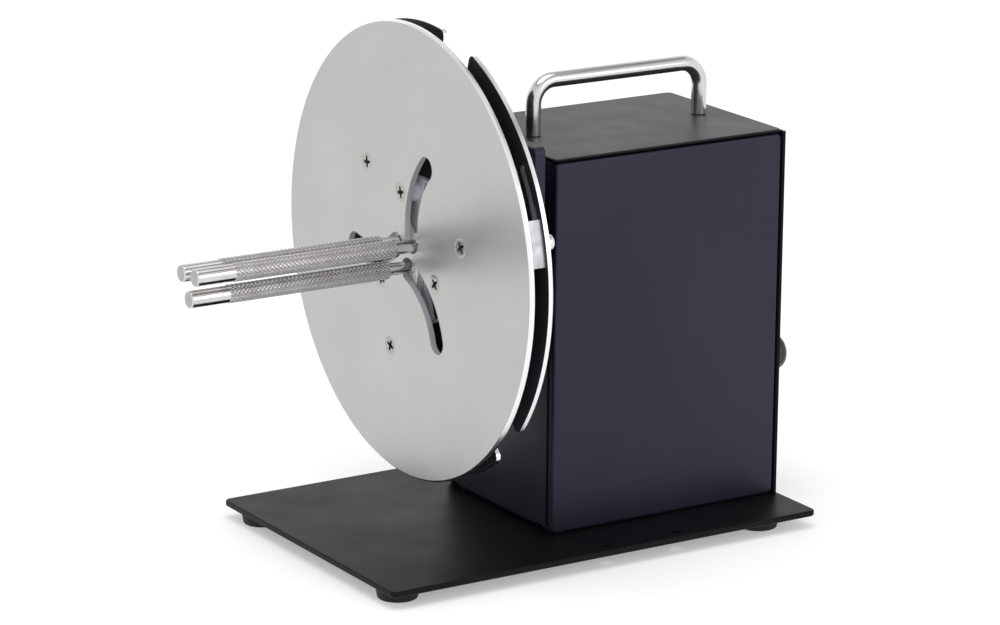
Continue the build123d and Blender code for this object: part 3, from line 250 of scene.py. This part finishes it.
knurl_steel = finish("knurled_nickel", (0.47, 0.455, 0.455), 1, 0.28)
knurl_steel.vary("Roughness", knurl_steel.noise(700, 3), 0.24, 0.34)
knurl_steel.tint(knurl_steel.noise(120, 4), (0.43, 0.415, 0.415), (0.51, 0.495, 0.495))

cut_end = finish("cut_end", (0.40, 0.41, 0.40), 1, 0.34)
cut_end.vary("Roughness", cut_end.noise(500, 4), 0.3, 0.4)
cut_end.relief(cut_end.noise(2600, 2), 0.00001, 0.3)

stainless = finish("stainless", (0.62, 0.61, 0.61), 1, 0.15)
stainless.vary("Roughness", stainless.noise(300, 2, (1, 0.12, 1)), 0.13, 0.18)
stainless.relief(stainless.noise(500, 2, (1, 0.05, 1)), 0.000005, 0.2)

hub_metal = finish("turned_aluminium", (0.66, 0.67, 0.69), 1, 0.22)
hub_metal.vary("Roughness", hub_metal.noise(120, 4), 0.17, 0.28)
hub_metal.relief(hub_metal.noise(2200, 2), 0.00001, 0.3)

matt_hub = finish("matt_hub", (0.72, 0.71, 0.76), 0.3, 0.4)
matt_hub.vary("Roughness", matt_hub.noise(120, 4), 0.35, 0.45)
matt_hub.relief(matt_hub.noise(2200, 2), 0.00001, 0.3)

plated_arm = finish("plated_arm", (0.62, 0.62, 0.64), 0.55, 0.36)
plated_arm.vary("Roughness", plated_arm.noise(220, 5), 0.3, 0.42)
plated_arm.relief(plated_arm.noise(1800, 2), 0.00001, 0.3)

block_metal = finish("milled_aluminium", (0.42, 0.42, 0.44), 0.8, 0.36)
block_metal.tint(block_metal.noise(160, 3), (0.34, 0.34, 0.355), (0.5, 0.5, 0.52))
block_metal.vary("Roughness", block_metal.noise(200, 4, (1, 0.2, 1)), 0.31, 0.42)
block_metal.relief(block_metal.noise(1200, 2, (1, 8, 1)), 0.00001, 0.3)

zinc = finish("zinc_screw", (0.72, 0.715, 0.69), 1, 0.26)
zinc.vary("Roughness", zinc.noise(500, 4), 0.2, 0.34)
zinc.tint(zinc.noise(240, 4), (0.66, 0.655, 0.63), (0.77, 0.765, 0.74))

head_zinc = finish("flange_screw_head", (0.42, 0.415, 0.39), 1, 0.3)
head_zinc.vary("Roughness", head_zinc.noise(500, 4), 0.24, 0.36)
head_zinc.tint(head_zinc.noise(240, 4), (0.38, 0.375, 0.35), (0.46, 0.455, 0.43))

steel = finish("ground_steel", (0.56, 0.56, 0.57), 1, 0.3)
steel.vary("Roughness", steel.noise(220, 5), 0.24, 0.38)
steel.relief(steel.noise(1800, 2), 0.00001, 0.3)

bearing = finish("bearing_steel", (0.66, 0.66, 0.67), 1, 0.12)
bearing.vary("Roughness", bearing.noise(400, 3), 0.08, 0.16)

# Blackened steel for the crank arm and grip pin; also used as painted shade inside the flange screws' cross
# recesses.
black_steel = finish("blackened_steel", (0.030, 0.030, 0.033), 0.6, 0.42)
black_steel.tint(black_steel.noise(40, 5), (0.022, 0.022, 0.025), (0.040, 0.040, 0.043))
black_steel.vary("Roughness", black_steel.noise(120, 4), 0.36, 0.5)
black_steel.relief(black_steel.noise(1600, 2), 0.00002, 0.35)

rubber = finish("rubber", (0.011, 0.011, 0.012), 0, 0.7, Specular_IOR_Level=0.35)
rubber.tint(rubber.noise(80, 4), (0.009, 0.009, 0.010), (0.016, 0.016, 0.017))
rubber.vary("Roughness", rubber.noise(300, 4), 0.62, 0.8)
rubber.relief(rubber.noise(2200, 3), 0.00004, 0.5)

plastic = finish("grip_plastic", (0.012, 0.012, 0.013), 0, 0.22)
plastic.vary("Roughness", plastic.noise(200, 4), 0.18, 0.28)
plastic.relief(plastic.noise(1400, 2), 0.00001, 0.25)


# Carried-over nodes: their materials, rounded edges and smooth curves

SHARP_ANGLE = math.radians(32)
WELD_DISTANCE = 0.002 * MM


def smoothing_group():
    """Geometry nodes that weld a mesh and shade it smooth, apart from its sharp edges."""
    group = bpy.data.node_groups.new("smooth_curves", "GeometryNodeTree")
    group.interface.new_socket("Geometry", in_out="INPUT", socket_type="NodeSocketGeometry")
    group.interface.new_socket("Geometry", in_out="OUTPUT", socket_type="NodeSocketGeometry")
    start = group.nodes.new("NodeGroupInput")
    end = group.nodes.new("NodeGroupOutput")
    weld = group.nodes.new("GeometryNodeMergeByDistance")
    weld.inputs["Distance"].default_value = WELD_DISTANCE
    smooth_faces = group.nodes.new("GeometryNodeSetShadeSmooth")
    smooth_faces.domain = "FACE"
    sharp_edges = group.nodes.new("GeometryNodeSetShadeSmooth")
    sharp_edges.domain = "EDGE"
    sharp_edges.inputs["Shade Smooth"].default_value = False
    angle = group.nodes.new("GeometryNodeInputMeshEdgeAngle")
    over = group.nodes.new("FunctionNodeCompare")
    over.data_type = "FLOAT"
    over.operation = "GREATER_THAN"
    over.inputs["B"].default_value = SHARP_ANGLE
    group.links.new(start.outputs[0], weld.inputs["Geometry"])
    group.links.new(weld.outputs["Geometry"], smooth_faces.inputs["Geometry"])
    group.links.new(smooth_faces.outputs["Geometry"], sharp_edges.inputs["Geometry"])
    group.links.new(angle.outputs["Unsigned Angle"], over.inputs["A"])
    group.links.new(over.outputs["Result"], sharp_edges.inputs["Selection"])
    group.links.new(sharp_edges.outputs["Geometry"], end.inputs[0])
    return group


smooth_curves = smoothing_group()


def dress(name, look, bevel=None, others=(), pick=None):
    """Gives a CAD node its finish, or one of the others where pick says so, and rounds its edges."""
    node = NODES[name]
    mesh = node.data
    mesh.materials.clear()
    mesh.materials.append(finishes[look].material)
    for other in others:
        mesh.materials.append(finishes[other].material)
    if pick:
        for polygon in mesh.polygons:
            polygon.material_index = int(pick(polygon))
    if "custom_normal" in mesh.attributes:
        mesh.attributes.remove(mesh.attributes["custom_normal"])
    node.modifiers.new("smooth", "NODES").node_group = smooth_curves
    if bevel:
        rounded = node.modifiers.new("rounded", "BEVEL")
        rounded.width = bevel
        rounded.segments = 2
        rounded.limit_method = "ANGLE"
        rounded.angle_limit = SHARP_ANGLE
        rounded.harden_normals = True
        rounded.use_clamp_overlap = True


FLAT_ON = 0.95
UPWARD = 0.5


def off_face(polygon):
    """True for a face that doesn't look along the shaft."""
    return abs(polygon.normal.y) < FLAT_ON


FLANGE_RIM = 109 * MM
PANEL_INSIDE = 47.5 * MM
ADJUSTER_RIM = 108.5 * MM
NOTCH_FLOOR = 95 * MM
NOTCH_TURN = 74.4
NOTCH_REACH = 8


def flange_look(polygon):
    """0 for the flange's flat faces, 1 for its outer rim, 2 for the walls of its slots and holes."""
    if not off_face(polygon):
        return 0
    radius = math.hypot(polygon.center.x, polygon.center.z - SHAFT_Z)
    return 1 if radius > FLANGE_RIM else 2


def painted_shade_lid_side(polygon):
    """True for a face of the lid that doesn't look up; these faces get the painted shade."""
    return polygon.normal.z < UPWARD


def painted_shade_wall_edge(polygon):
    """True for a face at the side of the frame's walls, which shows beside a panel and gets the painted
    shade.
    """
    return abs(polygon.center.x) > PANEL_INSIDE


def on_rim(polygon):
    """True for a face of the adjuster disc's outer rim or of one of its three notches."""
    x, z = polygon.center.x, polygon.center.z - SHAFT_Z
    radius = math.hypot(x, z)
    turn = (math.degrees(math.atan2(z, x)) - NOTCH_TURN + 60) % 120 - 60
    in_notch = abs(turn) < NOTCH_REACH and radius > NOTCH_FLOOR
    return off_face(polygon) and (radius > ADJUSTER_RIM or in_notch)


dress("front_flange", "satin_face", None, ("turned_rim", "milled_slot"), flange_look)
dress("adjuster_disc", "black_anodised", 0.2 * MM, ("turned_rim",), on_rim)
# The lid's side faces and the frame's wall edges beside the panels get the painted shade coat.
dress("housing_lid", "lid_coat", None, ("painted_shade_edge",), painted_shade_lid_side)
dress("housing_frame", "powder_coat", 0.25 * MM, ("painted_shade_edge",), painted_shade_wall_edge)

LOOKS = {
    "powder_coat": ("side_panel_left", "side_panel_right", "bearing_plate"),
    "base_coat": ("base_plate",),
    "turned_aluminium": ("front_bearing_housing", "rear_bearing_housing", "crank_spacer"),
    "milled_aluminium": ("lock_blocks",),
    "matt_hub": ("spindle_hub",),
    "plated_arm": ("swing_arm_1", "swing_arm_2", "swing_arm_3"),
    "zinc_screw": (
        "block_dowels", "crank_end_screw", "crank_washer", "foot_screws", "frame_screws",
        "front_housing_screws", "handle_screws", "handle_washers", "hub_set_screws",
        "lock_screw_1", "lock_screw_2", "lock_screw_3", "panel_screws", "pivot_screws", "hub_screws",
        "plate_nuts", "plate_screws", "plate_spacers",
        "rear_housing_screws", "rod_screw_1", "rod_screw_2", "rod_screw_3",
    ),
    "ground_steel": (
        "crank_key", "disc_retaining_ring", "pivot_posts", "tail_pin_1", "tail_pin_2", "tail_pin_3", "shaft",
    ),
    "bearing_steel": (
        "front_bearing_balls", "front_bearing_inner_ring", "front_bearing_outer_ring",
        "rear_bearing_balls", "rear_bearing_inner_ring", "rear_bearing_outer_ring",
    ),
    "blackened_steel": ("crank_arm", "grip_pin"),
    "rubber": ("rubber_feet",),
    "grip_plastic": ("crank_grip", "grip_cap"),
    "stainless": ("carry_handle",),
    "knurled_nickel": ("core_rod_1", "core_rod_2", "core_rod_3"),
}
ROUNDED = {
    "bearing_plate": 0.2 * MM,
    "crank_arm": 0.25 * MM,
    "lock_blocks": 0.3 * MM,
    "spindle_hub": 0.15 * MM,
    "swing_arm_1": 0.25 * MM,
    "swing_arm_2": 0.25 * MM,
    "swing_arm_3": 0.25 * MM,
    "side_panel_left": 0.8 * MM,
    "side_panel_right": 0.8 * MM,
}
for look, names in LOOKS.items():
    for name in names:
        dress(name, look, ROUNDED.get(name))


# New pieces


def new_piece(name, mesh, body, slot, *replaced):
    """Object from a bmesh that rides on a body and stands for CAD nodes."""
    data = bpy.data.meshes.new(name)
    mesh.to_mesh(data)
    mesh.free()
    piece = bpy.data.objects.new(name, data)
    bpy.context.scene.collection.objects.link(piece)
    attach(piece, body)
    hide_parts(*replaced)
    return piece


def ring_points(radius, count, centre, across, up):
    """Points of a circle round centre, in the plane of two directions."""
    angles = [math.tau * k / count for k in range(count)]
    return [centre + radius * (math.cos(a) * across + math.sin(a) * up) for a in angles]


def bridge(mesh, first, second):
    """Faces between two closed rows of equally many vertices."""
    count = len(first)
    for k in range(count):
        made = mesh.faces.new((first[k], first[(k + 1) % count], second[(k + 1) % count], second[k]))
        made.smooth = True


def lathe(mesh, profile, centre, count):
    """Turned shape along +Y: profile holds (distance along Y, radius), and its ends are closed."""
    across, up = Vector((1, 0, 0)), Vector((0, 0, 1))
    rows = []
    for along, radius in profile:
        place = centre + Vector((0, along, 0))
        rows.append([mesh.verts.new(p) for p in ring_points(radius, count, place, across, up)])
    for first, second in zip(rows, rows[1:]):
        bridge(mesh, first, second)
    for row in (rows[0], rows[-1]):
        mesh.faces.new(row)


# Core rods, with real knurling

ROD_CIRCLE = 7.477 * MM
ROD_ANGLE = 33.7
ROD_GRIP_RADIUS = 4.4 * MM
KNURL_FRONT = -96 * MM
KNURL_BACK = -10.4 * MM
KNURL_STARTS = 14
KNURL_PITCH = 2.2 * MM
KNURL_DEPTH = 0.38 * MM
KNURL_RIM = 4.12 * MM
KNURL_GROOVE = 0.24
ROD_COUNT = 64
NEAR = 1e-6
KEY_STEPS = 4096
KNURL_FINISH = 1
END_FINISH = 2
FLAT_ON_END = 0.9
TIP_PROFILE = (
    (-116, 3.4), (-115.93, 3.6), (-115.5, 4.03), (-115.35, 4.1),
    (-115.2, 4.1), (-114.8, 4.1), (-96, 4.1), (-95.6, 4.1),
)
END_FACE = -115 * MM
NECK_PROFILE = ((-10.8, 3.0), (-2, 3.0), (5.3, 3.0))
SHOULDER_FRONT = ((-96, 3.9), (-96, 4.1), (-95.9, 4.16))
SHOULDER_BACK = ((-10.5, 4.16), (-10.4, 4.1), (-10.4, 2.9))


def knurl(mesh, centre):
    """Diamond pattern of two crossing sets of grooves, wrapped round a rod along Y and cut off square."""
    steps = (0.0, KNURL_GROOVE, 0.5, 1 - KNURL_GROOVE)
    length = KNURL_BACK - KNURL_FRONT
    rows = math.ceil(length / KNURL_PITCH) + 2
    corners = {}

    def corner(u, v):
        """Vertex at these counts of the two sets of grooves, which come round again after all starts."""
        turn = (u + v) / (2 * KNURL_STARTS)
        along = (u - v) / 2
        key = (round((turn % 1.0) * KEY_STEPS) % KEY_STEPS, round(along * KEY_STEPS))
        if key not in corners:
            deep = 0.0
            for way in (u % 1.0, v % 1.0):
                away = min(way, 1 - way)
                deep = max(deep, 1 - away / KNURL_GROOVE)
            radius = ROD_GRIP_RADIUS - KNURL_DEPTH * max(0.0, deep)
            angle = math.tau * turn
            y = KNURL_FRONT - KNURL_PITCH / 2 + along * KNURL_PITCH
            place = Vector((radius * math.cos(angle), y, radius * math.sin(angle)))
            corners[key] = mesh.verts.new(centre + place)
        return corners[key]

    marks = [cell + step for cell in range(-rows, rows + KNURL_STARTS + 1) for step in steps]
    for u_low, u_high in zip(marks, marks[1:]):
        for v_low, v_high in zip(marks, marks[1:]):
            along_low, along_high = (u_low - v_high) / 2, (u_high - v_low) / 2
            turn = (u_low + v_low) / (2 * KNURL_STARTS)
            if along_high < 0 or along_low > rows or not -NEAR <= turn < 1 - NEAR:
                continue
            cell = ((u_low, v_low), (u_high, v_low), (u_high, v_high), (u_low, v_high))
            places = [corner(u, v) for u, v in cell]
            if len(set(places)) == 4:
                mesh.faces.new(places).material_index = KNURL_FINISH
    for y, clear_low in ((KNURL_FRONT, True), (KNURL_BACK, False)):
        bmesh.ops.bisect_plane(
            mesh, geom=mesh.verts[:] + mesh.edges[:] + mesh.faces[:], plane_co=centre + Vector((0, y, 0)),
            plane_no=(0, 1, 0), clear_inner=clear_low, clear_outer=not clear_low,
        )
    for vertex in mesh.verts:
        y = vertex.co.y - centre.y
        room = min(y - KNURL_FRONT, KNURL_BACK - y)
        axis = Vector((centre.x, vertex.co.y, centre.z))
        out = vertex.co - axis
        most = KNURL_RIM + max(0.0, room)
        if out.length > most:
            vertex.co = axis + out.normalized() * most


for number in (1, 2, 3):
    angle = math.radians(ROD_ANGLE + 120 * (number - 1))
    centre = Vector((ROD_CIRCLE * math.cos(angle), FLANGE_Y, SHAFT_Z + ROD_CIRCLE * math.sin(angle)))
    mesh = bmesh.new()
    knurl(mesh, centre)
    for profile in (TIP_PROFILE, NECK_PROFILE, SHOULDER_FRONT, SHOULDER_BACK):
        lathe(mesh, [(along * MM, radius * MM) for along, radius in profile], centre, ROD_COUNT)
    bmesh.ops.recalc_face_normals(mesh, faces=mesh.faces[:])
    for made in mesh.faces:
        if made.normal.y < -FLAT_ON_END and made.calc_center_median().y < FLANGE_Y + END_FACE:
            made.material_index = END_FINISH
    rod = new_piece(f"knurled_rod_{number}", mesh, f"arm_{number}", "knurled_steel", f"core_rod_{number}")
    rod.data.materials.append(nickel.material)
    rod.data.materials.append(knurl_steel.material)
    rod.data.materials.append(cut_end.material)
    rod.data.set_sharp_from_angle(angle=SHARP_ANGLE)


# Carrying handle, a smooth bent bar

HANDLE_RADIUS = 3.75 * MM
HANDLE_FRONT = 19 * MM
HANDLE_REAR = 115 * MM
HANDLE_FOOT = 193 * MM
HANDLE_TOP = 219.25 * MM
HANDLE_BEND = 11 * MM
BEND_STEPS = 20
HANDLE_COUNT = 56
FOOT_STEP = 0.4 * MM
FOOT_CHAMFER = 0.35 * MM


def handle_line():
    """Places along the bar with its direction there."""
    line = [
        (Vector((0, HANDLE_FRONT, HANDLE_FOOT)), 90.0),
        (Vector((0, HANDLE_FRONT, HANDLE_FOOT + FOOT_STEP)), 90.0),
    ]
    for centre_y, start in ((HANDLE_FRONT + HANDLE_BEND, 180), (HANDLE_REAR - HANDLE_BEND, 90)):
        centre = Vector((0, centre_y, HANDLE_TOP - HANDLE_BEND))
        for step in range(BEND_STEPS + 1):
            angle = math.radians(start - 90 * step / BEND_STEPS)
            place = centre + HANDLE_BEND * Vector((0, math.cos(angle), math.sin(angle)))
            line.append((place, math.degrees(angle) - 90))
    line.append((Vector((0, HANDLE_REAR, HANDLE_FOOT + FOOT_STEP)), -90.0))
    line.append((Vector((0, HANDLE_REAR, HANDLE_FOOT)), -90.0))
    return line


mesh = bmesh.new()
rows = []
places = handle_line()
for index, (place, heading) in enumerate(places):
    way = math.radians(heading)
    ahead = Vector((0, math.cos(way), math.sin(way)))
    across = Vector((1, 0, 0))
    up = ahead.cross(across)
    radius = HANDLE_RADIUS - (FOOT_CHAMFER if index in (0, len(places) - 1) else 0)
    rows.append([mesh.verts.new(p) for p in ring_points(radius, HANDLE_COUNT, place, across, up)])
for first, second in zip(rows, rows[1:]):
    bridge(mesh, first, second)
for row in (rows[0], rows[-1]):
    mesh.faces.new(row)
bmesh.ops.recalc_face_normals(mesh, faces=mesh.faces[:])
handle = new_piece("bent_handle", mesh, "stand", "stainless", "carry_handle")
handle.data.materials.append(stainless.material)
handle.data.set_sharp_from_angle(angle=SHARP_ANGLE)


# Countersunk screws in the flange's face, with a tapered cross recess whose walls and floor are painted
# black as painted shade

HEAD_RADIUS = 4.7 * MM
SCREW_RADIUS = 2.5 * MM
RECESS_HALF = 2.75 * MM
RECESS_WIDTH = 0.62 * MM
RECESS_DEPTH = 2.0 * MM
HEAD_SINK = 0.06 * MM
HEAD_COUNT = 48
HEAD_BREAK = 0.25 * MM
HEAD_EDGE = 0.12 * MM
CROSS_WAIST = 1.5
CROSS_FLARE = 0.9
CROSS_POINT = 1.06
CROSS_FLOOR = 0.42
# Material slot of the recess walls and floor: blackened steel as painted shade in the recess.
RECESS_PAINTED_SHADE = 1


def cross_outline(scale, y, centre, turn):
    """Corners of a cross whose arms narrow outwards."""
    near, far = RECESS_WIDTH * CROSS_WAIST * scale, RECESS_HALF * scale
    thin = RECESS_WIDTH * scale
    shape = []
    for quarter in range(4):
        way = math.radians(90 * quarter + turn)
        for x, z in ((near, -near * CROSS_FLARE), (far, -thin), (far * CROSS_POINT, 0), (far, thin)):
            place = Vector((x * math.cos(way) - z * math.sin(way), y, x * math.sin(way) + z * math.cos(way)))
            shape.append(centre + place)
    return shape


def flange_screw(mesh, centre, turn, length):
    """One screw, its head just under the flange's face."""
    front = HEAD_SINK
    across, up = Vector((1, 0, 0)), Vector((0, 0, 1))
    middle = centre + Vector((0, front, 0))
    outline = ring_points(HEAD_RADIUS - HEAD_BREAK, HEAD_COUNT, middle, across, up)
    edge = [mesh.verts.new(p) for p in outline]
    cross = [mesh.verts.new(p) for p in cross_outline(1.0, front, centre, turn)]
    ends = [(row[k], row[(k + 1) % len(row)]) for row in (edge, cross) for k in range(len(row))]
    loops = [mesh.edges.new(pair) for pair in ends]
    bmesh.ops.triangle_fill(mesh, use_beauty=True, edges=loops, normal=Vector((0, -1, 0)))
    floor_row = [mesh.verts.new(p) for p in cross_outline(CROSS_FLOOR, front + RECESS_DEPTH, centre, turn)]
    # The recess walls and floor get the black finish: painted shade in the recess.
    for k in range(len(cross)):
        wall = (cross[k], cross[(k + 1) % len(cross)], floor_row[(k + 1) % len(cross)], floor_row[k])
        mesh.faces.new(wall).material_index = RECESS_PAINTED_SHADE
    mesh.faces.new(floor_row).material_index = RECESS_PAINTED_SHADE
    rows = [edge]
    for along, radius in (
        (front + HEAD_EDGE, HEAD_RADIUS),
        (front + HEAD_EDGE + HEAD_RADIUS - SCREW_RADIUS, SCREW_RADIUS),
        (length, SCREW_RADIUS),
    ):
        place = centre + Vector((0, along, 0))
        rows.append([mesh.verts.new(p) for p in ring_points(radius, HEAD_COUNT, place, across, up)])
    for first, second in zip(rows, rows[1:]):
        bridge(mesh, first, second)
    mesh.faces.new(rows[-1])


def flange_screws(name, node, circle, first_angle, length, turns):
    """Three screws on a circle round the shaft, which stand for one CAD node."""
    mesh = bmesh.new()
    for number, turn in enumerate(turns):
        angle = math.radians(first_angle + 120 * number)
        centre = Vector((circle * math.cos(angle), FLANGE_Y, SHAFT_Z + circle * math.sin(angle)))
        flange_screw(mesh, centre, turn, length)
    bmesh.ops.recalc_face_normals(mesh, faces=mesh.faces[:])
    screws = new_piece(name, mesh, "spindle", "zinc_steel", node)
    screws.data.materials.append(head_zinc.material)
    # Blackened steel here is painted shade in the cross recesses.
    screws.data.materials.append(black_steel.material)
    screws.data.set_sharp_from_angle(angle=SHARP_ANGLE)


HUB_CIRCLE, HUB_ANGLE, HUB_LENGTH = 28.3 * MM, 99.5, 9.1 * MM
PIVOT_CIRCLE, PIVOT_ANGLE, PIVOT_LENGTH = 51 * MM, 14.5, 8.0 * MM
HUB_TURNS = (12, 64, 40)
PIVOT_TURNS = (35, 5, 70)
flange_screws("cross_hub_screws", "hub_screws", HUB_CIRCLE, HUB_ANGLE, HUB_LENGTH, HUB_TURNS)
flange_screws("cross_pivot_screws", "pivot_screws", PIVOT_CIRCLE, PIVOT_ANGLE, PIVOT_LENGTH, PIVOT_TURNS)


# Floor

FLOOR_SIZE = 14
mesh = bmesh.new()
HALF_FLOOR = FLOOR_SIZE / 2
QUARTERS = ((-1, -1), (1, -1), (1, 1), (-1, 1))
mesh.faces.new([mesh.verts.new((x * HALF_FLOOR, y * HALF_FLOOR, 0)) for x, y in QUARTERS])
data = bpy.data.meshes.new("floor")
mesh.to_mesh(data)
mesh.free()
floor = bpy.data.objects.new("floor", data)
bpy.context.scene.collection.objects.link(floor)
floor_look = Finish(
    "floor", (0.65, 0.65, 0.65), 0, 0.8,
    Specular_IOR_Level=0.1, Emission_Color=(1, 1, 1, 1), Emission_Strength=0.34,
)
floor.data.materials.append(floor_look.material)
